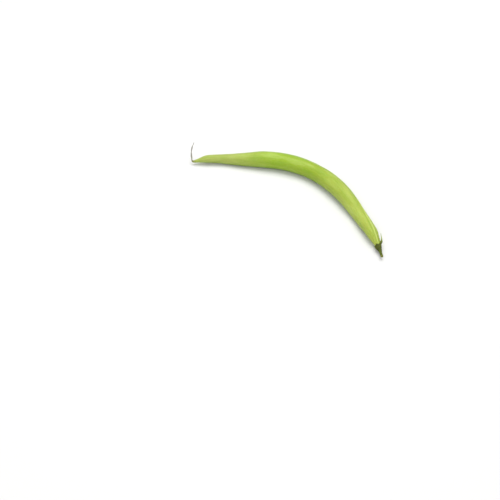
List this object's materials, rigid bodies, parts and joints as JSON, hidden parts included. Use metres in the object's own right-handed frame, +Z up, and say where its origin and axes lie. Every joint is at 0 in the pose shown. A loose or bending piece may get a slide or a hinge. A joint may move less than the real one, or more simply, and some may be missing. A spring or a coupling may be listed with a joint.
{
  "type": "green bean",
  "caption": "Green bean as picked: a long curved tapering pod with seed bulges and seams, a toothed calyx and snapped stalk at the stem end and a dry curled thread at the other.",
  "frame": {"origin": "on the table, under the middle of the box round the bean", "axes": "+Z up from the table, +X from the thread end towards the stem end, +Y towards the outer side of the pod's curve near the thread"},
  "size_m": [0.0998, 0.081, 0.0095],
  "materials": {
    "pod_skin": "satin",
    "calyx": "matte",
    "stalk": "matte"
  },
  "bodies": {
    "root": {"pod": "pod_skin", "calyx": "calyx", "stalk": "stalk"}
  },
  "joints": []
}
